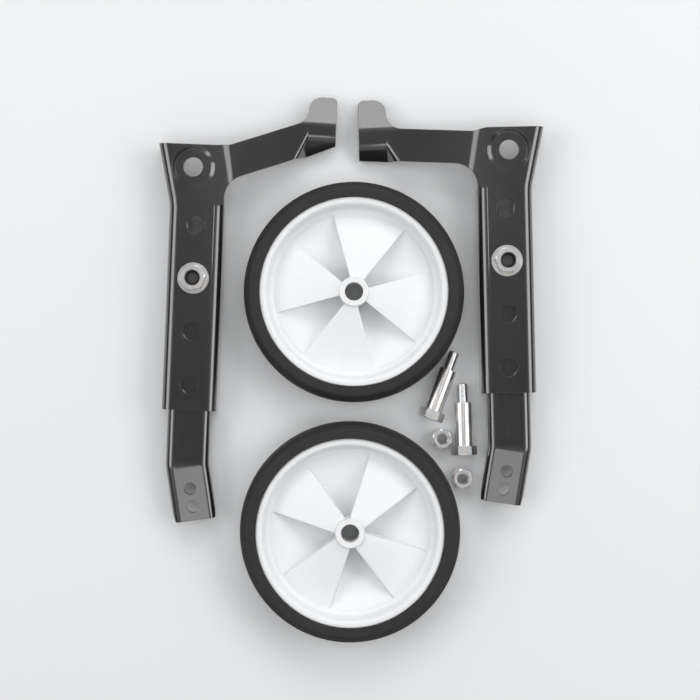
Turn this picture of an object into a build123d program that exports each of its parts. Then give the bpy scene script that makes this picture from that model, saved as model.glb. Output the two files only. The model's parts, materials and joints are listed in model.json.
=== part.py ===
from build123d import *

import os
from math import asin, atan2, cos, pi, radians, sin, tan

# Pair of training wheels for a child's bicycle, laid out as supplied.
# Sizes in millimetres, angles in degrees. All pieces lie on the floor z = 0, z points up.

# Wheel
wheel_diameter = 125.0
tyre_width = 25.0
tyre_height = 9.25
tyre_seat_gap = 0.1
tyre_shoulder = 4.0
tyre_crown = 1.2
rim_width = 22.0
rim_lip_height = 3.0
rim_lip_thickness = 2.5
rim_lip_round = 2.0
rim_lip_edge = 0.8
rim_wall = 0.9
rim_wall_draft = 1.75
web_thickness = 2.5
web_run_out = 2.2
web_cove = 2.6
sector_pairs = 4
narrow_sector = 36.0
sector_wall = 2.6
hub_diameter = 16.8
hub_length = 22.0
hub_step = 0.6

# Hub bushes, one from each side of the wheel
bush_bore = 10.3
bush_wall = 1.35
bush_flange_thickness = 1.0
bush_running_gap = 0.05
bush_end_gap = 0.1
bush_middle_gap = 0.5

# Pressed bracket
sheet = 3.0
bracket_width = 31.0
bracket_depth = 20.0
bracket_reach = 137.0
bend_radius = 5.5
head_top = 13.0
head_flare = 7.5
flare_start = 21.0
flare_radius = 30.0
flange_taper = 12.0
axle_hole = 11.0
axle_offset = 2.5
boss_diameter = 24.2
boss_skirt = 2.0
boss_height = 1.2
adjust_hole = 10.0
adjust_count = 4
adjust_first = 32.5
adjust_last_edge = 14.5
clamp_position = 1

# Stay and its saddle, which bears on the bicycle frame
stay_width = 18.5
stay_fold = 8.0
stay_fold_radius = 25.0
stay_fillet = 13.2
crease_margin = 2.0
crease_skew = 10.0
saddle_width = 16.5
saddle_fillet = 9.5
lobe_bend = 13.0
lobe_fold = 20.0
lobe_corner = 7.5
lobe_tip = 3.0
lip_bend = 9.0
lip_fold = 35.0
lip_run_out = 8.3
seam_gap = 0.05
left_stay_reach = 77.5
left_stay_rise = 20.7
left_stay_shoulder = -0.4
left_saddle_drop = 1.3
left_saddle_band = 7.0
left_lobe_height = 15.8
right_stay_reach = 82.5
right_stay_rise = 4.2
right_stay_shoulder = 1.9
right_saddle_drop = 0.3
right_saddle_band = 8.6
right_lobe_height = 17.5

# Leg that slides in the bracket
leg_side_gap = 0.25
leg_face_gap = 0.25
leg_depth = 14.0
leg_bend_radius = 4.5
leg_top = 17.0
leg_show = 31.0
leg_foot = 32.0
leg_knee_radius = 18.0
leg_kick = 10.0
leg_fold = 6.0
leg_trim = 6.0
wheel_hole = 6.9
wheel_hole_pitch = 10.5
wheel_hole_edge = 8.0
slot_gap = 0.25
leg_travel = 30.0

# Clamp set, one on each arm
clamp_thread = 8.0
clamp_neck = 8.4
clamp_head = 15.0
clamp_head_height = 4.0
clamp_head_gap = 0.1
clamp_washer = 17.5
clamp_washer_thickness = 1.6
clamp_nut = 13.0
clamp_nut_height = 6.5
clamp_recess = 3.5

# Axle set, one for each wheel
axle_thread = 6.0
axle_thread_length = 11.0
axle_shoulder_gap = 0.15
axle_end_play = 0.4
axle_head = 13.0
axle_head_height = 5.3
axle_washer = 12.0
axle_washer_thickness = 1.6
spring_washer = 11.0
spring_washer_slit = 1.2
axle_nut = 10.0
axle_nut_height = 5.0
thread_gap = 0.2
edge_break = 0.8

# Layout on the floor
wheel_gap = 10.7
lower_wheel_shift = 2.2
upper_wheel_turn = 33.0
lower_wheel_turn = 54.4
left_gap = 12.7
left_lean = -2.3
left_axle_rise = 7.6
right_gap = 8.5
right_lean = 1.3
right_axle_rise = 17.4
first_bolt_side = 25.8
first_bolt_rise = 0.6
first_bolt_heading = 69.5
second_bolt_side = 8.1
second_bolt_rise = -19.8
first_stack_side = 8.9
first_stack_rise = -38.5
first_stack_turn = 20.0
second_stack_side = 20.6
second_stack_rise = -15.8
second_stack_turn = 75.0
floor_gap = 0.05

# Sizes that follow from those above
wheel_radius = wheel_diameter / 2
rim_diameter = wheel_diameter - 2 * tyre_height
rim_bed = rim_diameter / 2 - rim_lip_height
rim_inside = rim_bed - rim_wall
web_outer = rim_inside - rim_wall_draft
web_end = web_outer - web_run_out
adjust_pitch = (bracket_reach - adjust_first - adjust_last_edge) / (adjust_count - 1)
leg_knee = bracket_reach + leg_show
bracket_half = bracket_width / 2
face_mid = bracket_depth - sheet / 2
crease = bracket_half + crease_margin
leg_width = bracket_width - 2 * sheet - 2 * leg_side_gap
leg_face = bracket_depth - sheet - leg_face_gap
clamp_y = -adjust_first - clamp_position * adjust_pitch
bush_outer = bush_bore + 2 * bush_wall
bush_reach = hub_length / 2 + bush_end_gap + bush_flange_thickness
shoulder_diameter = bush_bore - 2 * axle_shoulder_gap
shoulder_length = 2 * bush_reach + axle_end_play
lower_y = -wheel_diameter - wheel_gap
arm_edge = wheel_radius + right_gap
between = lower_y / 2
base = (Align.CENTER, Align.CENTER, Align.MIN)


def make_pockets(sector, inset):
    """Wedges open upwards, with a floor that sinks towards the hub."""
    half_web = web_thickness / 2
    hub_radius = hub_diameter / 2
    floor_low = web_thickness + hub_step - hub_length / 2
    half = radians(sector / 2)
    apex = inset / sin(half)
    far = rim_diameter
    with BuildPart() as pockets:
        with BuildSketch(Plane.XY.offset(-hub_length)):
            with PolarLocations(0, sector_pairs):
                Polygon(
                    (apex, 0),
                    (apex + far, -far * tan(half)),
                    (apex + far, far * tan(half)),
                    align=None,
                )
        extrude(amount=2 * hub_length)
        Cylinder(web_end - edge_break / 2, 4 * hub_length, mode=Mode.INTERSECT)
        with BuildSketch(Plane.XZ):
            Polygon(
                (0, -2 * hub_length),
                (rim_diameter, -2 * hub_length),
                (rim_diameter, half_web),
                (web_end, half_web),
                (hub_radius, floor_low),
                (0, floor_low),
                align=None,
            )
        revolve(axis=Axis.Z, mode=Mode.SUBTRACT)
    return pockets.part


def make_rim():
    """Moulded rim: conical sectors, raised and sunk by turns, between a hub and a lipped ring."""
    lip = rim_diameter / 2
    side = rim_width / 2
    groove = side - rim_lip_thickness
    half_web = web_thickness / 2
    hub_radius = hub_diameter / 2
    cone_top = hub_length / 2 - hub_step
    wide_sector = 360 / sector_pairs - narrow_sector
    rounds = [web_cove, rim_lip_round, rim_lip_edge]
    front = make_pockets(narrow_sector, 0)
    back = mirror(make_pockets(wide_sector, sector_wall), about=Plane.XY)
    with BuildPart() as rim:
        with BuildSketch(Plane.XZ):
            with BuildLine():
                FilletPolyline(
                    (0, -cone_top),
                    (hub_radius, -cone_top),
                    (web_end, -half_web),
                    (web_outer, -half_web),
                    (rim_inside, -side),
                    (lip, -side),
                    (lip, -groove),
                    (rim_bed, -groove),
                    (rim_bed, groove),
                    (lip, groove),
                    (lip, side),
                    (rim_inside, side),
                    (web_outer, half_web),
                    (web_end, half_web),
                    (hub_radius, cone_top),
                    (0, cone_top),
                    radius=[0, 0, 0, *rounds, 0, 0, 0, 0, *reversed(rounds), 0, 0, 0],
                    close=True,
                )
            make_face()
        revolve(axis=Axis.Z)
        add(front, mode=Mode.SUBTRACT)
        add(back, rotation=(0, 0, 180 / sector_pairs), mode=Mode.SUBTRACT)
        Cylinder(hub_radius, hub_length)
        Cylinder(bush_outer / 2 + bush_running_gap, 2 * hub_length, mode=Mode.SUBTRACT)
    return rim.part


def make_tyre():
    """Solid tyre whose tongue sits between the rim lips."""
    lip = rim_diameter / 2 + tyre_seat_gap
    tongue = lip - rim_lip_height
    tongue_side = rim_width / 2 - rim_lip_thickness - tyre_seat_gap
    side = tyre_width / 2
    shoulder_side = side - tyre_shoulder * 0.7
    shoulder = wheel_radius - tyre_shoulder
    edge = wheel_radius - tyre_crown
    with BuildPart() as tyre:
        with BuildSketch(Plane.XZ) as section:
            with BuildLine():
                Polyline(
                    (edge, shoulder_side),
                    (shoulder, side),
                    (lip, side),
                    (lip, tongue_side),
                    (tongue, tongue_side),
                    (tongue, -tongue_side),
                    (lip, -tongue_side),
                    (lip, -side),
                    (shoulder, -side),
                    (edge, -shoulder_side),
                )
                ThreePointArc((edge, -shoulder_side), (wheel_radius, 0), (edge, shoulder_side))
            make_face()
            outer = section.vertices().filter_by(lambda v: v.X > shoulder - edge_break)
            fillet(outer, radius=tyre_shoulder / 2)
        revolve(axis=Axis.Z)
    return tyre.part


def make_bush():
    """Flanged plain bush for the upper half of a hub."""
    bore = bush_bore / 2
    outer = bush_outer / 2
    flange = hub_diameter / 2 - edge_break / 4
    seat = hub_length / 2 + bush_end_gap
    with BuildPart() as bush:
        with BuildSketch(Plane.XZ):
            with BuildLine():
                FilletPolyline(
                    (bore, bush_middle_gap / 2),
                    (outer, bush_middle_gap / 2),
                    (outer, seat),
                    (flange, seat),
                    (flange, bush_reach),
                    (bore, bush_reach),
                    radius=[0, 0, 0, 0, 0.4, 0.3],
                    close=True,
                )
            make_face()
        revolve(axis=Axis.Z)
    return bush.part


def make_stay(stay_reach, stay_rise, stay_shoulder, saddle_drop, saddle_band, lobe_height):
    """Strap folded down from the head, with a saddle pressed into its end."""
    rise = tan(radians(stay_rise))
    skew = radians(crease_skew)
    slope = tan(radians(stay_fold))
    inside = stay_reach - saddle_width
    run = inside - lip_run_out
    root_x = bracket_half - bend_radius
    root_y = -flare_start
    top = head_top - stay_shoulder
    bottom = top - stay_width / cos(radians(stay_rise))
    low_root = bottom + (bracket_half - crease) * rise
    low_run = bottom + (run - crease) * rise
    low_inside = bottom + (inside - crease) * rise
    low_end = bottom + (stay_reach - crease) * rise
    top_inside = top + (inside - crease) * rise
    bend_top = top_inside - saddle_drop
    bend_low = bend_top - saddle_band
    lip_tangent = lip_bend * tan(radians(lip_fold / 2))
    flat_low = bend_low + lip_tangent
    flat_top = bend_top - lobe_bend * tan(radians(lobe_fold / 2))
    overlap = sheet
    seam_x = inside - saddle_fillet - sheet
    seam_top = top_inside - (saddle_fillet + sheet) * rise
    seam_low = min(bend_low + saddle_band / 2, seam_top - seam_gap)
    # Strap: a sheet folded along a skewed crease and cut to its outline
    square = (cos(skew), sin(skew), 0)
    crease_mid = crease * cos(skew)
    far = 2 * stay_reach
    with BuildPart() as strap:
        with BuildSketch(Plane(origin=(0, 0, 0), x_dir=square, z_dir=(sin(skew), -cos(skew), 0))):
            with BuildLine():
                FilletPolyline(
                    (0, face_mid),
                    (crease_mid, face_mid),
                    (far, face_mid - (far - crease_mid) * slope),
                    radius=stay_fold_radius,
                )
            trace(line_width=sheet)
        extrude(amount=stay_reach, both=True)
        with BuildSketch():
            with BuildLine():
                FilletPolyline(
                    (root_x, root_y),
                    (bracket_half, root_y),
                    (bracket_half, low_root),
                    (run, low_run),
                    (inside, flat_low),
                    (inside + overlap, flat_low),
                    (inside + overlap, flat_top),
                    (inside, flat_top),
                    (inside - saddle_fillet, top_inside - saddle_fillet * rise),
                    (crease, top),
                    (root_x, head_top),
                    radius=[0, 0, stay_fillet, 0, 0, 0, 0, 0, 0, 0, 0],
                    close=True,
                )
            make_face()
        extrude(amount=2 * bracket_depth, mode=Mode.INTERSECT)
    # Saddle: a sheet bent over the frame tube, cut to its own outline
    tilt_x = slope * cos(skew)
    tilt_y = slope * sin(skew)
    along = Vector(1, 0, -tilt_x).normalized()
    across = Vector(tilt_x, tilt_y, 1).cross(along)

    def section_plane(x):
        """Cross-section of the stay at a distance along it."""
        level = face_mid - (x * cos(skew) - crease_mid) * slope
        return Plane(origin=(x, 0, level), x_dir=across, z_dir=along)

    def below(lip):
        """Point of a section that lies beyond the lower bend."""
        return (lip - stay_width, -stay_width * tan(radians(lip_fold)))

    with BuildPart() as saddle:
        with BuildSketch(section_plane(stay_reach)):
            with BuildLine():
                FilletPolyline(
                    (bend_top + 2 * lobe_height, -2 * lobe_height * tan(radians(lobe_fold))),
                    (bend_top, 0),
                    (bend_low, 0),
                    below(bend_low),
                    radius=[lobe_bend, lip_bend],
                )
            trace(line_width=sheet)
        extrude(amount=-2 * saddle_width)
        with BuildSketch():
            with BuildLine():
                FilletPolyline(
                    (stay_reach - sheet / 4, low_end),
                    (stay_reach - sheet / 4, bend_top + lobe_height),
                    (inside, bend_top + lobe_height),
                    (inside, top_inside),
                    (seam_x, seam_top),
                    (seam_x, seam_low),
                    (inside, seam_low),
                    (inside, low_inside),
                    radius=[0, lobe_tip, lobe_corner, saddle_fillet, 0, 0, 0, 0],
                    close=True,
                )
            make_face()
        extrude(amount=2 * bracket_depth, mode=Mode.INTERSECT)
    # The lower bend of the saddle runs out at a slant through the edge of the strap
    sections = [(inside + overlap, bend_low), (inside, bend_low), (run, low_run - lip_tangent)]
    with BuildPart() as fade:
        for x, bend in sections:
            with BuildSketch(section_plane(x)):
                with BuildLine():
                    FilletPolyline(
                        (bend_low + saddle_band / 2, 0),
                        (bend, 0),
                        below(bend),
                        radius=lip_bend,
                    )
                trace(line_width=sheet)
        loft(ruled=True)
        with BuildSketch():
            Polygon(
                (run, low_run),
                (inside, low_inside),
                (inside, bend_low + saddle_band / 3),
                (run, bend_low + saddle_band / 3),
                align=None,
            )
        extrude(amount=2 * bracket_depth, mode=Mode.INTERSECT)
    with BuildPart() as stay:
        add(strap.part)
        add(saddle.part)
        add(fade.part)
    return stay.part


def make_bracket(stay):
    """Pressed channel with a flared head; the stay leaves the head towards +X."""
    flange_x = bracket_half - bend_radius
    with BuildPart() as bracket:
        with BuildSketch() as outline:
            Polygon(
                (-bracket_half, -bracket_reach),
                (bracket_half, -bracket_reach),
                (bracket_half, head_top),
                (-bracket_half - head_flare, head_top),
                (-bracket_half, -flare_start),
                align=None,
            )
            knee = outline.vertices().sort_by_distance((-bracket_half, -flare_start))[0]
            fillet(knee, radius=flare_radius)
        extrude(amount=bracket_depth)
        face_edges = bracket.faces().sort_by(Axis.Z)[-1].edges().sort_by(Axis.Y)
        fillet(face_edges[1:-1], radius=bend_radius)
        ends = bracket.faces().sort_by(Axis.Y)
        underside = bracket.faces().sort_by(Axis.Z)[0]
        offset(amount=-sheet, openings=[underside, ends[0], ends[-1]])
        # The inner flange runs out at a slant below the stay
        with BuildSketch(Plane.YZ.offset(flange_x)):
            Polygon(
                (-flare_start - flange_taper, -sheet),
                (-flare_start, bracket_depth - bend_radius),
                (-flare_start, 2 * bracket_depth),
                (2 * head_top, 2 * bracket_depth),
                (2 * head_top, -sheet),
                align=None,
            )
        extrude(amount=2 * bend_radius, mode=Mode.SUBTRACT)
        add(stay)
        # Raised boss around the axle hole, hollow behind
        with Locations((-axle_offset, 0, bracket_depth)):
            Cone(boss_diameter / 2, boss_diameter / 2 - boss_skirt, boss_height, align=base)
        with Locations((-axle_offset, 0, bracket_depth - sheet)):
            Cone(
                boss_diameter / 2 - boss_height,
                boss_diameter / 2 - boss_height - boss_skirt,
                boss_height,
                align=base,
                mode=Mode.SUBTRACT,
            )
        with Locations((-axle_offset, 0, 0)):
            Cylinder(axle_hole / 2, 4 * bracket_depth, mode=Mode.SUBTRACT)
        with Locations(*[(0, -adjust_first - i * adjust_pitch, 0) for i in range(adjust_count)]):
            Cylinder(adjust_hole / 2, 4 * bracket_depth, mode=Mode.SUBTRACT)
    return bracket.part


def make_leg():
    """Channel that slides in the bracket, cranked near its foot."""
    mid = leg_face - sheet / 2
    kick = radians(leg_kick)
    fold = radians(leg_fold)
    foot_way = Vector(sin(kick) * cos(fold), -cos(kick) * cos(fold), -sin(fold))
    knee = Vector(0, -leg_knee, mid)
    foot = knee + foot_way * leg_foot
    half = leg_width / 2 - sheet / 2
    edge = sheet / 2 - leg_depth
    # The knee turns the section about the normal of its path, which also banks the foot
    turn_axis = Vector(0, -1, 0).cross(foot_way).normalized()
    turn = Vector(0, -1, 0).get_angle(foot_way)
    foot_up = Vector(0, 0, 1).rotate(Axis((0, 0, 0), turn_axis), turn)
    across = foot_way.cross(foot_up)
    with BuildPart() as leg:
        with BuildLine() as route:
            FilletPolyline((0, -leg_top, mid), knee, foot, radius=leg_knee_radius)
        with BuildSketch(Plane(origin=(0, -leg_top, mid), x_dir=(1, 0, 0), z_dir=(0, -1, 0))):
            with BuildLine():
                FilletPolyline(
                    (-half, edge),
                    (-half, 0),
                    (half, 0),
                    (half, edge),
                    radius=leg_bend_radius - sheet / 2,
                )
            trace(line_width=sheet)
        sweep(path=route.line)
        # The flanges grow shallower along the foot
        with BuildSketch(Plane.YZ):
            Polygon(
                (-leg_knee + leg_foot / 2, leg_face - leg_depth),
                (-leg_knee - 2 * leg_foot, leg_face - leg_depth + 2.5 * leg_trim),
                (-leg_knee - 2 * leg_foot, -bracket_depth),
                (-leg_knee + leg_foot / 2, -bracket_depth),
                align=None,
            )
        extrude(amount=bracket_width, both=True, mode=Mode.SUBTRACT)
        # Slot for the neck of the clamp bolt
        slot_span = leg_travel + clamp_neck + slot_gap
        slot_mid = clamp_y + leg_travel / 2
        with BuildSketch(Plane.XY.offset(leg_face + sheet)):
            with Locations((0, slot_mid)):
                SlotCenterToCenter(slot_span, clamp_neck + 2 * slot_gap, rotation=90)
        extrude(amount=-3 * sheet, mode=Mode.SUBTRACT)
        # Wheel-axle holes, square to the foot
        first = foot - foot_way * wheel_hole_edge
        for hole in (first, first - foot_way * wheel_hole_pitch):
            with Locations(Plane(origin=hole, x_dir=across, z_dir=foot_up)):
                Cylinder(wheel_hole / 2, 3 * sheet, mode=Mode.SUBTRACT)
    return leg.part


def make_clamp_bolt():
    """Carriage bolt from inside the leg: domed head, square neck in the slot, end below the nut top."""
    seat = leg_face - sheet - clamp_head_gap
    neck = leg_face - slot_gap - seat
    end = bracket_depth + clamp_washer_thickness + clamp_nut_height - clamp_recess
    rim = clamp_head / 2
    crown = clamp_head_height - edge_break
    dome = (rim**2 + crown**2) / (2 * crown)
    half_arc = asin(rim / dome) / 2
    crown_z = seat - clamp_head_height
    with BuildPart() as bolt:
        with BuildSketch(Plane.XZ):
            with BuildLine():
                Polyline((0, crown_z), (0, seat), (rim, seat), (rim, seat - edge_break))
                ThreePointArc(
                    (rim, seat - edge_break),
                    (dome * sin(half_arc), crown_z + dome * (1 - cos(half_arc))),
                    (0, crown_z),
                )
            make_face()
        revolve(axis=Axis.Z)
        with Locations((0, 0, seat)):
            Box(clamp_neck, clamp_neck, neck, align=base)
            Cylinder(clamp_thread / 2, end - seat, align=base)
        chamfer(bolt.edges().sort_by(Axis.Z)[-1], length=edge_break)
    return bolt.part


def make_washer(diameter, bore, thickness):
    """Flat washer on the floor."""
    with BuildPart() as washer:
        Cylinder(diameter / 2, thickness, align=base)
        Cylinder(bore / 2, 4 * thickness, mode=Mode.SUBTRACT)
    return washer.part


def make_spring_washer():
    """Ring of square section with a slanted slit."""
    bore = axle_thread + 2 * thread_gap
    with BuildPart() as washer:
        Cylinder(spring_washer / 2, axle_washer_thickness, align=base)
        Cylinder(bore / 2, 4 * axle_washer_thickness, mode=Mode.SUBTRACT)
        with Locations(Location((spring_washer / 2, 0, axle_washer_thickness / 2), (30, 0, 0))):
            Box(spring_washer, spring_washer_slit, 4 * axle_washer_thickness, mode=Mode.SUBTRACT)
    return washer.part


def make_hex(across, height):
    """Hexagon with its corners turned off at both ends."""
    corner = across / 2 / cos(radians(30))
    with BuildPart() as blank:
        Cylinder(corner, height, align=base)
        chamfer(blank.edges().filter_by(GeomType.CIRCLE), length=edge_break * 0.6, length2=edge_break)
    with BuildPart() as body:
        with BuildSketch():
            RegularPolygon(across / 2, 6, major_radius=False)
        extrude(amount=height)
        add(blank.part, mode=Mode.INTERSECT)
    return body.part


def make_nut(across, height, bore):
    """Hex nut with countersunk bore."""
    body = make_hex(across, height)
    with BuildPart() as nut:
        add(body)
        Cylinder(bore / 2, 4 * height, mode=Mode.SUBTRACT)
        chamfer(nut.edges().filter_by(lambda e: abs(e.length - pi * bore) < 0.01), length=edge_break / 2)
    return nut.part


def make_axle_bolt():
    """Shoulder bolt: hex head below z = 0, shoulder for the wheel, thinner threaded end."""
    head = make_hex(axle_head, axle_head_height)
    with BuildPart() as bolt:
        with Locations((0, 0, -axle_head_height)):
            add(head)
        Cylinder(shoulder_diameter / 2, shoulder_length, align=base)
        with Locations((0, 0, shoulder_length)):
            Cylinder(axle_thread / 2, axle_thread_length, align=base)
        chamfer(bolt.edges().sort_by(Axis.Z)[-1], length=edge_break)
    return bolt.part


def gather(members):
    """Identical loose pieces as one group of separate solids."""
    with BuildPart() as group:
        add(members)
    return group.part


def arm_place(side, gap, lean, axle_rise):
    """Where the axle hole's row of an arm lies: beside the upper wheel, a little out of upright."""
    above = wheel_radius + axle_rise
    out = side * (wheel_radius + gap + bracket_half)
    swing = radians(lean)
    return Location((out - above * sin(swing), above * cos(swing), 0), (0, 0, lean))


def lying_bolt(side, rise, heading):
    """Place of an axle bolt that rests on a flat of its head and on the end of its shoulder."""
    dip = atan2(axle_head / 2 - shoulder_diameter / 2, shoulder_length)
    way = Vector(cos(radians(heading)) * cos(dip), sin(radians(heading)) * cos(dip), -sin(dip))
    level = Vector(-sin(radians(heading)), cos(radians(heading)), 0)
    height = axle_head / 2 * cos(dip) + floor_gap
    spot = (arm_edge - side, between + rise, height)
    return Plane(origin=spot, x_dir=level, z_dir=way).location


def standing_stack(side, rise, turn):
    """Place of a washer that lies flat, with its spring washer and nut on it."""
    return Location((arm_edge - side, between + rise, floor_gap), (0, 0, turn))


pieces = {}

# Arms: the right one is the mirror image, with a stay of its own
left_stay = make_stay(
    left_stay_reach,
    left_stay_rise,
    left_stay_shoulder,
    left_saddle_drop,
    left_saddle_band,
    left_lobe_height,
)
right_stay = make_stay(
    right_stay_reach,
    right_stay_rise,
    right_stay_shoulder,
    right_saddle_drop,
    right_saddle_band,
    right_lobe_height,
)
arms = {
    "left": (arm_place(-1, left_gap, left_lean, left_axle_rise), left_stay),
    "right": (arm_place(1, right_gap, right_lean, right_axle_rise), right_stay),
}
leg = make_leg()
clamp_bolt = make_clamp_bolt()
clamp_disc = make_washer(clamp_washer, clamp_thread + 2 * thread_gap, clamp_washer_thickness)
clamp_hex = make_nut(clamp_nut, clamp_nut_height, clamp_thread + 2 * thread_gap)
clamp_top = bracket_depth + clamp_washer_thickness
for hand, (place, stay) in arms.items():
    at_clamp = Location((0, clamp_y, 0))
    set_of_arm = {
        "bracket": make_bracket(stay),
        "leg": leg,
        "clamp_bolt": clamp_bolt.moved(at_clamp),
        "clamp_washer": clamp_disc.moved(Location((0, clamp_y, bracket_depth))),
        "clamp_nut": clamp_hex.moved(Location((0, clamp_y, clamp_top), (0, 0, 11))),
    }
    for name, piece in set_of_arm.items():
        handed = mirror(piece, about=Plane.YZ) if hand == "right" else piece
        pieces[f"{hand}_{name}"] = handed.moved(place)

# Wheels: the lower one lies with its other face up
rim = make_rim()
tyre = make_tyre()
bush = make_bush()
over = Location((0, 0, 0), (180, 0, 0))
mid_height = tyre_width / 2
upper = Location((0, 0, mid_height), (0, 0, upper_wheel_turn))
lower = Location((-lower_wheel_shift, lower_y, mid_height), (0, 0, lower_wheel_turn))
for row, place, face in (("upper", upper, Location()), ("lower", lower, over)):
    pieces[f"{row}_wheel_rim"] = rim.moved(place * face)
    pieces[f"{row}_wheel_tyre"] = tyre.moved(place * face)
    pieces[f"{row}_wheel_front_bush"] = bush.moved(place)
    pieces[f"{row}_wheel_back_bush"] = bush.moved(place * over)

# Axle fittings, loose between the wheels and the right arm
axle_bolt = make_axle_bolt()
axle_disc = make_washer(axle_washer, axle_thread + 2 * thread_gap, axle_washer_thickness)
axle_spring = make_spring_washer()
axle_hex = make_nut(axle_nut, axle_nut_height, axle_thread + 2 * thread_gap)
bolts = [
    axle_bolt.moved(lying_bolt(first_bolt_side, first_bolt_rise, first_bolt_heading)),
    axle_bolt.moved(lying_bolt(second_bolt_side, second_bolt_rise, 90 + right_lean)),
]
stacks = [
    standing_stack(first_stack_side, first_stack_rise, first_stack_turn),
    standing_stack(second_stack_side, second_stack_rise, second_stack_turn),
]
on_washer = Location((0, 0, axle_washer_thickness))
on_spring = Location((0, 0, 2 * axle_washer_thickness), (0, 0, 25))
pieces["axle_bolts"] = gather(bolts)
pieces["axle_washers"] = gather([axle_disc.moved(stack) for stack in stacks])
pieces["axle_spring_washers"] = gather([axle_spring.moved(stack * on_washer) for stack in stacks])
pieces["axle_nuts"] = gather([axle_hex.moved(stack * on_spring) for stack in stacks])

# The origin is the middle of the footprint of the whole set
boxes = [piece.bounding_box() for piece in pieces.values()]
centre_x = (min(box.min.X for box in boxes) + max(box.max.X for box in boxes)) / 2
centre_y = (min(box.min.Y for box in boxes) + max(box.max.Y for box in boxes)) / 2
to_centre = Location((-centre_x, -centre_y, 0))

os.makedirs("parts", exist_ok=True)
for name, piece in pieces.items():
    centred = piece.moved(to_centre)
    centred.label = name
    export_step(centred, f"parts/{name}.step")
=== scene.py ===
# %% [markdown]
# # A pair of training wheels, laid out flat
# The set has two black arms, two white wheels with dark solid tyres, and the
# loose fittings that hold the wheels on. Everything rigid comes from the packed
# CAD model and stays exactly where that model puts it. This file gives each
# piece its finish, adds the screw threads that are too fine for the CAD model,
# and lights the set in a plain studio above a pale floor.

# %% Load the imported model
import json
import math

import bpy
import numpy as np
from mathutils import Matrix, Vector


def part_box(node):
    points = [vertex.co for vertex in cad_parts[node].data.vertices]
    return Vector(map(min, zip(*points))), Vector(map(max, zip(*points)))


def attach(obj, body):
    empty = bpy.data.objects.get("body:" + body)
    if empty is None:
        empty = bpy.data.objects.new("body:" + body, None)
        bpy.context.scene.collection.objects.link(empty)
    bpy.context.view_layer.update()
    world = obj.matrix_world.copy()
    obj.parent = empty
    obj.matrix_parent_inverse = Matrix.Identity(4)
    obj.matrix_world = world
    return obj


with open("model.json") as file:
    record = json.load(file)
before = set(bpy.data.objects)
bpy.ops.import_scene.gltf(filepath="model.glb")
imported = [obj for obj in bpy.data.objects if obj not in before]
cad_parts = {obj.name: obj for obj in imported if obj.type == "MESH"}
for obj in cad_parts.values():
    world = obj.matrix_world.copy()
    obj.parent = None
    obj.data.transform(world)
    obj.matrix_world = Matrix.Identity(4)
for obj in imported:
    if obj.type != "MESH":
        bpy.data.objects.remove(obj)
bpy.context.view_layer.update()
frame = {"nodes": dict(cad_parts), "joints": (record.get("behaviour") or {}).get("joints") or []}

nodes = frame["nodes"]
MM = 0.001
HUB = {j["child"].split("_")[0]: tuple(j["pos_m"]) for j in frame["joints"] if j["type"] == "hinge"}
print("wheel hubs:", HUB)

# %% [markdown]
# ## Shader maths as plain expressions
# A finish is easier to read as a sum than as a web of nodes. `Shade` wraps one
# output socket, so that `1 - mask` or `height * 0.3` adds the Math nodes itself.
# `Web` has a single method that adds any other node: settings are put in first,
# because they decide which sockets the node has. `Finish` is the web of a material.

# %% Shade, Web and Finish
class Shade:
    """One output socket of a shader tree; arithmetic on it adds Math nodes."""

    def __init__(self, finish, socket):
        self.finish = finish
        self.socket = socket

    def _math(self, operation, first, second):
        return self.finish.add("ShaderNodeMath", {"operation": operation}, {0: first, 1: second})

    def __add__(self, other):
        return self._math("ADD", self, other)

    def __radd__(self, other):
        return self._math("ADD", other, self)

    def __sub__(self, other):
        return self._math("SUBTRACT", self, other)

    def __rsub__(self, other):
        return self._math("SUBTRACT", other, self)

    def __mul__(self, other):
        return self._math("MULTIPLY", self, other)

    def __rmul__(self, other):
        return self._math("MULTIPLY", other, self)

    def rise(self, low, high):
        """0 below low, 1 above high, and a smooth step between them."""
        return self.finish.add(
            "ShaderNodeMapRange",
            {"interpolation_type": "SMOOTHSTEP"},
            {"Value": self, "From Min": low, "From Max": high},
        )


class Web:
    """A node tree to which nodes are added one by one."""

    def __init__(self, tree):
        self.tree = tree

    def put(self, socket, value):
        """Links a Shade to a socket, or writes a constant on the socket itself."""
        if isinstance(value, Shade):
            self.tree.links.new(value.socket, socket)
        else:
            socket.default_value = value

    def add(self, kind, settings, sockets, output=0):
        """Adds any node: its type, its settings, then the values of its sockets."""
        node = self.tree.nodes.new(kind)
        for key, value in settings.items():
            setattr(node, key, value)
        for key, value in sockets.items():
            self.put(node.inputs[key], value)
        return Shade(self, node.outputs[output])


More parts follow.
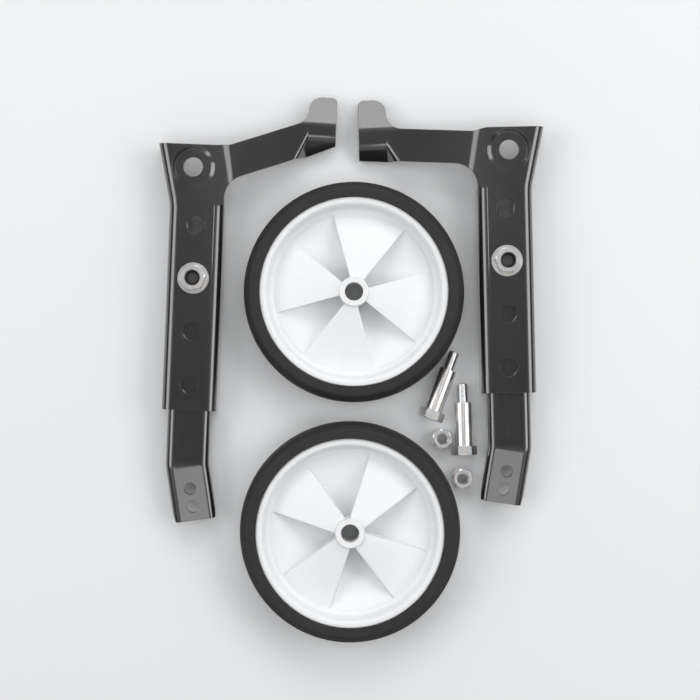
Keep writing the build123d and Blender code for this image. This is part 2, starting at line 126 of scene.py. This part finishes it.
class Finish(Web):
    """A material whose nodes feed a single Principled shader."""

    def __init__(self, name):
        self.material = bpy.data.materials.new(name)
        self.material.use_nodes = True
        super().__init__(self.material.node_tree)
        self.shader = self.tree.nodes["Principled BSDF"]
        self.place = self.add("ShaderNodeTexCoord", {}, {}, "Object")

    def noise(self, scale, detail=3.0, vector=None):
        """Soft random field with about `scale` cells to the metre, from 0 to 1."""
        values = {"Vector": vector or self.place, "Scale": scale, "Detail": detail}
        return self.add("ShaderNodeTexNoise", {}, values)

    def mapped(self, centre=(0, 0, 0), turn=0.0, stretch=(1, 1, 1)):
        """Object coordinates moved to a centre, turned about Z and stretched."""
        back = tuple(-c for c in centre)
        moved = self.add("ShaderNodeVectorMath", {"operation": "ADD"}, {0: self.place, 1: back})
        values = {"Vector": moved, "Rotation": (0, 0, -turn), "Scale": stretch}
        return self.add("ShaderNodeMapping", {}, values)

    def mix(self, factor, first, second):
        """Blend of two colours."""
        return self.add("ShaderNodeMix", {"data_type": "RGBA"}, {0: factor, 6: first, 7: second}, 2)

    def relief(self, height, distance, under=None):
        """Bump of a height field; `distance` is how tall a height of 1 stands, in metres."""
        values = {"Height": height, "Distance": distance, "Strength": 1.0}
        if under is not None:
            values["Normal"] = under
        return self.add("ShaderNodeBump", {}, values)

    def soft_edges(self, radius):
        """Normal that rounds the sharp edges of the solid over a small radius."""
        return self.add("ShaderNodeBevel", {"samples": 6}, {"Radius": radius})

    def set(self, **values):
        """Writes sockets of the Principled shader, spaces in their names given as _."""
        for key, value in values.items():
            self.put(self.shader.inputs[key.replace("_", " ")], value)
        return self.material


def dress(material, *names):
    """Puts one material in the material slots of CAD nodes."""
    for name in names:
        for slot in nodes[name].material_slots:
            slot.material = material
    print(material.name, "on", ", ".join(names))


def grey(level, warm=0.0):
    """Neutral colour, made a little warmer or cooler."""
    return (level * (1 + warm), level, level * (1 - warm), 1.0)


# %% [markdown]
# ## Black paint on the arms
# The arms are pressed from 3 mm sheet and dipped in black enamel. The real finish
# is nearly black and glossy: flat faces stay dark and every bend draws a bright
# line. A faint orange peel breaks up the reflections, and the paint carries fine
# rubbing marks where the leg has slid in the bracket. A dark base under a thin
# clear coat gives the depth, two scales of noise give the peel, and the Bevel
# node rounds the sheared edges so that they catch a line of light.

# %% Black paint
ARM_LEAN = {"left": math.radians(-2.3), "right": math.radians(1.3)}


def black_paint(name, lean, scuffed):
    """Enamel: dark base, orange peel, and fine rubbing marks along the arm."""
    paint = Finish(name)
    along = paint.mapped(turn=lean, stretch=(1, 0.06, 1))
    peel = paint.noise(420, 2) * 0.7 + paint.noise(1300, 2) * 0.3
    cloud = paint.noise(38, 4)
    rubbed = paint.noise(900, 3, along).rise(0.56, 0.76) * cloud.rise(0.35, 0.75)
    dust = paint.noise(2600, 1).rise(0.76, 0.86)
    colour = paint.mix(rubbed * scuffed, grey(0.0065, -0.04), grey(0.020))
    colour = paint.mix(dust * 0.3, colour, grey(0.09, 0.05))
    normal = paint.relief(peel, 0.00003, paint.soft_edges(0.7 * MM))
    return paint.set(
        Base_Color=colour,
        Roughness=0.17 + cloud * 0.10 + rubbed * scuffed * 0.2,
        Normal=normal,
        Coat_Weight=1 - rubbed * scuffed * 0.5,
        Coat_Roughness=0.05,
        Coat_IOR=1.65,
        IOR=1.65,
    )


for hand, lean in ARM_LEAN.items():
    dress(black_paint(f"{hand}_bracket_paint", lean, 0.3), f"{hand}_bracket")
    dress(black_paint(f"{hand}_leg_paint", lean, 0.7), f"{hand}_leg")

# %% [markdown]
# ## Zinc on the fittings
# Bolts, nuts and washers are zinc plated. The plating is a soft mirror with fine
# tumbling scratches, and its thin passivation drifts between a blue and a straw
# tint. Metal takes its look from what it reflects, so the finish only needs a
# tinted base, a wandering roughness and very shallow scratches. The clamp bolts
# end deep in their nuts. There the bolts and the nuts' inner threads get a dark,
# half-metal zinc, which is painted shade for that deep hole.

# %% Zinc plating
def zinc(name, level, roughness, metal=1.0):
    """Plated steel: tint and roughness wander, tumbling leaves shallow scratches."""
    plate = Finish(name)
    drift = plate.noise(160, 3)
    speckle = plate.noise(1500, 4)
    scratch = plate.noise(700, 2, plate.mapped(turn=0.6, stretch=(1, 9, 1)))
    colour = plate.mix(drift.rise(0.35, 0.65), grey(level * 0.95, -0.03), grey(level * 1.05, 0.04))
    colour = plate.mix(speckle.rise(0.55, 0.75) * 0.5, colour, grey(level * 0.65, 0.02))
    normal = plate.relief(scratch * 0.6 + speckle * 0.4, 0.000012, plate.soft_edges(0.25 * MM))
    return plate.set(
        Base_Color=colour,
        Metallic=metal,
        Roughness=roughness + speckle * 0.14 + drift * 0.06,
        Normal=normal,
    )


clamp_zinc = zinc("clamp_zinc", 0.66, 0.22)
# painted shade: dark, half-metal zinc that stands for the shade deep in the clamp nuts
painted_shade_zinc = zinc("painted_shade_zinc", 0.07, 0.42, metal=0.5)
axle_zinc = zinc("axle_zinc", 0.74, 0.20)
for hand in ARM_LEAN:
    dress(clamp_zinc, f"{hand}_clamp_washer", f"{hand}_clamp_nut")
    # painted shade: the clamp bolts take the dark zinc of the deep nut hole
    dress(painted_shade_zinc, f"{hand}_clamp_bolt")
dress(axle_zinc, "axle_bolts", "axle_nuts", "axle_washers", "axle_spring_washers")

# %% [markdown]
# ## White moulded rims
# The rims are injection moulded in white plastic. A moulding shows faint flow
# from the gate at the hub out to the lip, a very fine grain from the tool steel,
# and shallow waves where the plastic shrank. The flow is noise on polar
# coordinates, so it is drawn out along the radius on each wheel's own centre.

# %% White plastic
def polar(finish, centre):
    """Distance from an upright axis, and the direction away from it."""
    place = finish.mapped(centre)
    flat = finish.add("ShaderNodeVectorMath", {"operation": "MULTIPLY"}, {0: place, 1: (1, 1, 0)})
    radius = finish.add("ShaderNodeVectorMath", {"operation": "LENGTH"}, {0: flat}, "Value")
    spoke = finish.add("ShaderNodeVectorMath", {"operation": "NORMALIZE"}, {0: flat})
    return radius, spoke


def white_plastic(name, centre, edge):
    """Moulded rim: radial flow, tool grain, shallow shrink waves and eased edges."""
    rim = Finish(name)
    _, spoke = polar(rim, centre)
    flow = rim.noise(9, 5, spoke)
    wave = rim.noise(45, 2)
    grain = rim.noise(2200, 2)
    speck = rim.noise(900, 1).rise(0.77, 0.82)
    colour = rim.mix(flow.rise(0.3, 0.7), grey(0.83, -0.016), grey(0.815, -0.012))
    colour = rim.mix(speck * 0.2, colour, grey(0.5, 0.05))
    height = wave * 0.8 + grain * 0.06 + flow * 0.14
    normal = rim.relief(height, 0.00018, rim.soft_edges(edge))
    return rim.set(
        Base_Color=colour,
        Roughness=0.36 + flow * 0.10 + grain * 0.06,
        Normal=normal,
        IOR=1.49,
    )


RIM_EDGE = {"upper": 0.5 * MM, "lower": 1.4 * MM}
for row, centre in HUB.items():
    dress(white_plastic(f"{row}_rim_plastic", centre, RIM_EDGE[row]), f"{row}_wheel_rim")

# %% [markdown]
# ## Nylon bushes
# Each hub runs on two flanged bushes, white like the rim but slightly waxier, with
# a faint turned grain. Seen from above their flange reads as the hub's own face.

# %% Nylon
def nylon(name):
    """White nylon: waxy, with a faint turned grain."""
    wax = Finish(name)
    cloud = wax.noise(260, 3)
    grain = wax.noise(2400, 2)
    colour = wax.mix(cloud.rise(0.3, 0.7), grey(0.83, -0.012), grey(0.79, -0.006))
    return wax.set(
        Base_Color=colour,
        Roughness=0.38 + grain * 0.15,
        Normal=wax.relief(grain, 0.00002, wax.soft_edges(0.2 * MM)),
        IOR=1.53,
    )


bush_nylon = nylon("bush_nylon")
for row in HUB:
    dress(bush_nylon, f"{row}_wheel_front_bush", f"{row}_wheel_back_bush")

# %% [markdown]
# ## Solid tyres
# The tyres are a solid, slightly rubbery plastic, charcoal rather than black and
# nearly matt. The mould was turned on a lathe, so its faint rings run round the
# tyre, with a fine spark-eroded grain over them and a dull bloom in patches.

# %% Tyre compound
def tyre_compound(name, centre):
    """Charcoal compound: turned rings, fine grain and a grey bloom."""
    tyre = Finish(name)
    radius, _ = polar(tyre, centre)
    rings = tyre.noise(2400, 2, tyre.add("ShaderNodeCombineXYZ", {}, {"X": radius}))
    grain = tyre.noise(1900, 4)
    bloom = tyre.noise(60, 5)
    colour = tyre.mix(bloom.rise(0.35, 0.75), grey(0.0165, 0.03), grey(0.0225, 0.04))
    colour = tyre.mix(grain.rise(0.62, 0.8) * 0.4, colour, grey(0.045, 0.04))
    normal = tyre.relief(grain * 0.8 + rings * 0.2, 0.00007, tyre.soft_edges(0.3 * MM))
    return tyre.set(
        Base_Color=colour,
        Roughness=0.56 + bloom * 0.2,
        Normal=normal,
        Specular_IOR_Level=0.38,
    )


for row, centre in HUB.items():
    dress(tyre_compound(f"{row}_tyre_compound", centre), f"{row}_wheel_tyre")

# %% [markdown]
# ## Surfaces from arrays
# New pieces are grids of points: one parameter runs round the piece, the other
# along its profile. `skin` joins neighbours with quads, closes the seam, closes
# each end with a single pole or joins last row to first, and then checks the
# signed volume so that the faces always point outwards.

# %% Grid to mesh
def skin(name, points, material, body, looped=False):
    """Closed surface over points[row, column]: columns wrap, rows loop or end in poles."""
    rows, columns = points.shape[:2]
    here = np.arange(rows * columns).reshape(rows, columns)
    beside = np.roll(here, -1, axis=1)
    after, beside_after = np.roll(here, -1, axis=0), np.roll(beside, -1, axis=0)
    last = rows if looped else rows - 1
    quads = np.stack([here, beside, beside_after, after], axis=-1)[:last].reshape(-1, 4)
    places = points.reshape(-1, 3)
    faces = [quads]
    if not looped:
        poles = np.stack([points[0].mean(axis=0), points[-1].mean(axis=0)])
        first, final = len(places), len(places) + 1
        places = np.concatenate([places, poles])
        low = np.stack([beside[0], here[0], np.full(columns, first)], axis=-1)
        high = np.stack([here[-1], beside[-1], np.full(columns, final)], axis=-1)
        faces += [low, high]
    a, b, c = (places[quads[:, k]] for k in (0, 1, 2))
    d = places[quads[:, 3]]
    volume = np.einsum("ij,ij->i", a, np.cross(b, c)) + np.einsum("ij,ij->i", a, np.cross(c, d))
    turn = slice(None, None, -1) if volume.sum() < 0 else slice(None)
    polygons = [face for block in faces for face in block[:, turn].tolist()]
    mesh = bpy.data.meshes.new(name)
    mesh.from_pydata(places.tolist(), [], polygons)
    mesh.materials.append(material)
    mesh.polygons.foreach_set("use_smooth", np.ones(len(polygons), dtype=bool))
    mesh.update()
    piece = bpy.data.objects.new(name, mesh)
    bpy.context.scene.collection.objects.link(piece)
    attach(piece, body)
    print(name, len(polygons), "faces on", body)
    return piece


# %% [markdown]
# ## Screw threads
# A thread is a cylinder whose radius rises and falls with the height, less the
# share of one pitch that belongs to the angle. The bolts lie tilted on the
# floor, so the thread is worked out upright and then carried onto the axis of
# each bolt. The CAD bolt keeps its plain core, and the ridge stands on it.

# %% Bolt threads
TURN = np.linspace(0, 2 * np.pi, 48, endpoint=False)


def thread_wave(height, pitch):
    """0 to 1 to 0 once per pitch along the height, moved on by the angle."""
    phase = (height[:, None] / pitch - TURN[None, :] / (2 * np.pi)) % 1.0
    return np.clip(1.5 - np.abs(phase - 0.5) * 4, 0, 1)


def upright_thread(core, crest, pitch, length, lead_in):
    """Radius = core + wave * (crest - core), fading to the core over the lead-in at the end."""
    height = np.linspace(0, length, int(length / pitch * 10) + 1)
    fade = np.clip((length - height) / lead_in, 0, 1)[:, None]
    radius = core + thread_wave(height, pitch) * (crest - core) * fade
    tall = np.broadcast_to(height[:, None], radius.shape)
    return np.stack([radius * np.cos(TURN), radius * np.sin(TURN), tall], axis=-1)


def lay_along(points, start, heading, dip):
    """Carries upright points onto an axis that starts at `start` and dips below level."""
    way = np.array([math.cos(heading) * math.cos(dip), math.sin(heading) * math.cos(dip), -math.sin(dip)])
    level = np.array([-math.sin(heading), math.cos(heading), 0])
    upper = np.cross(way, level)
    return start + points[..., :1] * level + points[..., 1:2] * upper + points[..., 2:] * way


BOLT_SHOULDER = 24.6
SHOULDER_RADIUS = 5.0
HEAD_RADIUS = 6.5
FLOOR_GAP = 0.05
BOLT_DIP = math.atan2(HEAD_RADIUS - SHOULDER_RADIUS, BOLT_SHOULDER)
BOLT_AXIS_HEIGHT = HEAD_RADIUS * math.cos(BOLT_DIP) + FLOOR_GAP
BOLT_THREAD = {"core": 2.95, "crest": 3.12, "pitch": 1.0, "length": 10.6, "lead_in": 0.6}
BOLTS_FROM_HUB = {
    "first": (45.2, -67.25, math.radians(69.5)),
    "second": (62.9, -87.65, math.radians(91.3)),
}
hub_x, hub_y = HUB["upper"][0] / MM, HUB["upper"][1] / MM
for which, (x, y, heading) in BOLTS_FROM_HUB.items():
    upright = upright_thread(**BOLT_THREAD)
    upright[..., 2] += BOLT_SHOULDER
    laid = lay_along(upright, np.array([hub_x + x, hub_y + y, BOLT_AXIS_HEIGHT]), heading, BOLT_DIP)
    skin(f"{which}_axle_bolt_thread", laid * MM, axle_zinc, "frame")

# %% [markdown]
# ## Threads inside the nuts
# A nut's thread is the same wave turned inwards: the radius shrinks from the bore
# to the crest and back. A plain wall just outside the bore closes the ring, and it
# is hidden in the nut. The clamp nuts show only the turns above the bolt's end.

# %% Nut threads
def nut_thread(bore, crest, pitch, low, high):
    """Ring whose inner radius = bore - wave * (bore - crest), closed by a wall outside the bore."""
    height = np.linspace(low, high, int((high - low) / pitch * 10) + 1)
    inner = bore - thread_wave(height, pitch) * (bore - crest)
    radius = np.concatenate([inner, np.full((2, TURN.size), bore + 0.3)])
    tall = np.concatenate([height, [high, low]])[:, None] + np.zeros_like(radius)
    return np.stack([radius * np.cos(TURN), radius * np.sin(TURN), tall], axis=-1)


CLAMP_THREAD = {"bore": 4.2, "crest": 3.75, "pitch": 1.25}
AXLE_THREAD = {"bore": 3.2, "crest": 2.8, "pitch": 1.0}
OPEN_TURNS = 3.4
CHAMFER = 0.4
for hand in ARM_LEAN:
    low, high = (np.array(corner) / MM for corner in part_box(f"{hand}_clamp_nut"))
    ring = nut_thread(**CLAMP_THREAD, low=high[2] - OPEN_TURNS, high=high[2] - CHAMFER)
    ring[..., :2] += (low[:2] + high[:2]) / 2
    # painted shade: the turns inside the clamp nut take the dark zinc, so the deep hole reads shaded
    skin(f"{hand}_clamp_nut_thread", ring * MM, painted_shade_zinc, "frame", looped=True)

NUTS_FROM_HUB = {"first": (62.1, -106.35), "second": (50.4, -83.65)}
low, high = (np.array(corner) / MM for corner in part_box("axle_nuts"))
for which, (x, y) in NUTS_FROM_HUB.items():
    ring = nut_thread(**AXLE_THREAD, low=low[2] + CHAMFER, high=high[2] - CHAMFER)
    ring[..., :2] += (hub_x + x, hub_y + y)
    skin(f"{which}_axle_nut_thread", ring * MM, axle_zinc, "frame", looped=True)

# %% [markdown]
# ## Floor
# The set lies on a plain pale floor, which is not part of the object. The lamps only
# reach so far, so seen from low down the floor would darken towards the horizon. A
# glow that only the camera sees makes up for it, from half a metre out, and it adds
# no light to the set.

# %% Pale floor
SPAN = 3.0
GLOW_FROM, GLOW_FULL = 0.5, 2.2
floor_finish = Finish("pale_floor")
away, _ = polar(floor_finish, (0, 0, 0))
seen = floor_finish.add("ShaderNodeLightPath", {}, {}, "Is Camera Ray")
far_glow = floor_finish.mix(away.rise(GLOW_FROM, GLOW_FULL) * seen, grey(0.0), grey(0.55))
floor_finish.set(
    Base_Color=(0.77, 0.78, 0.79, 1),
    Roughness=0.7,
    Emission_Color=far_glow,
    Emission_Strength=1.0,
)
floor_mesh = bpy.data.meshes.new("floor")
corners = [(-SPAN, -SPAN, 0), (SPAN, -SPAN, 0), (SPAN, SPAN, 0), (-SPAN, SPAN, 0)]
floor_mesh.from_pydata(corners, [], [(0, 1, 2, 3)])
floor_mesh.materials.append(floor_finish.material)
floor = bpy.data.objects.new("floor", floor_mesh)
bpy.context.scene.collection.objects.link(floor)

# %% [markdown]
# ## Studio light
# Black gloss shows only what it reflects, so the boxes are placed by angle: one
# high at the top of the picture for the saddles' lobes, one near the bottom for
# the cranked feet, a slim one overhead for the folds of the stays, and a wide one
# on each side for the bends. The world is a pale tent with a darker slot above,
# where the camera looks in, and it dims towards the floor: flat black faces mirror
# the slot, steep ones mirror the dim foot of the tent, and both stay black. The
# strongest light comes from the top right, which shades the wheels' sectors.

# %% Soft boxes
def soft_box(name, place, width, length, radiance):
    """Rectangular lamp turned to the middle of the set; power = radiance * pi * area."""
    lamp = bpy.data.lights.new(name, "AREA")
    lamp.shape = "RECTANGLE"
    lamp.size, lamp.size_y = width, length
    lamp.energy = radiance * math.pi * width * length
    box = bpy.data.objects.new(name, lamp)
    bpy.context.scene.collection.objects.link(box)
    x, y, z = place
    box.location = place
    box.rotation_euler = (math.acos(z / math.hypot(x, y, z)), 0, math.atan2(-x, y) + math.pi)
    box.visible_camera = False
    print(name, round(lamp.energy, 2), "W")


soft_box("top_box", (0.2, 1.15, 0.95), 1.5, 0.7, 2.65)
soft_box("foot_box", (0.0, -0.59, 1.6), 0.8, 0.36, 1.9)
soft_box("fold_box", (0.0, 0.33, 1.62), 0.26, 0.4, 3.0)
soft_box("right_box", (0.97, 0.1, 0.87), 0.9, 0.7, 2.9)
soft_box("left_box", (-0.97, 0.1, 0.87), 0.9, 0.7, 2.5)

# %% Pale tent
world = bpy.data.worlds.new("tent")
bpy.context.scene.world = world
world.use_nodes = True
tent = Web(world.node_tree)
FILL = 0.42
SLOT = 0.36
TENT_FOOT = 0.12
TENT_TOP = 0.6
towards = tent.add("ShaderNodeTexCoord", {}, {}, "Generated")
aside = tent.add("ShaderNodeSeparateXYZ", {}, {"Vector": towards}, "X")
along = tent.add("ShaderNodeSeparateXYZ", {}, {"Vector": towards}, "Y")
camera_ray = tent.add("ShaderNodeLightPath", {}, {}, "Is Camera Ray")
glossy_ray = tent.add("ShaderNodeLightPath", {}, {}, "Is Glossy Ray")
height = tent.add("ShaderNodeSeparateXYZ", {}, {"Vector": towards}, "Z")
in_slot = (1 - (aside * aside).rise(0.04, 0.16)) * (1 - (along * along).rise(0.07, 0.22))
glow = TENT_FOOT + height.rise(0.35, 0.7) * (TENT_TOP - TENT_FOOT)
mirrored = glow * (1 - in_slot * (1 - SLOT))
lit = FILL + glossy_ray * (mirrored - FILL)
strength = lit + camera_ray * (1 - lit)
tent.put(tent.tree.nodes["Background"].inputs["Strength"], strength)
tent.put(tent.tree.nodes["Background"].inputs["Color"], (1, 1, 1, 1))

# %% [markdown]
# ## Camera
# The set is seen from straight above, from a little under a metre, so that the
# camera looks slightly in at the sides of the pieces. At the height of the wheels'
# upper faces a pixel of the 700 by 700 picture covers 0.56 mm, and the lens follows
# from that width and the distance. The aim is measured from the upper wheel's hub.

# %% Camera
PICTURE = 700
PIXEL = 0.5596 * MM
FACE_HEIGHT = 25 * MM
DISTANCE = 0.85
AIM_FROM_HUB = (-2.23 * MM, -32.82 * MM)
lens = bpy.data.cameras.new("camera")
lens.sensor_width = 36
lens.lens = lens.sensor_width * DISTANCE / (PICTURE * PIXEL)
lens.clip_end = 20
camera = bpy.data.objects.new("camera", lens)
aim_x, aim_y = (hub + away for hub, away in zip(HUB["upper"], AIM_FROM_HUB))
camera.location = (aim_x, aim_y, FACE_HEIGHT + DISTANCE)
bpy.context.scene.collection.objects.link(camera)
bpy.context.scene.camera = camera
bpy.context.scene.view_settings.view_transform = "Standard"
print("lens", round(lens.lens, 1), "mm")
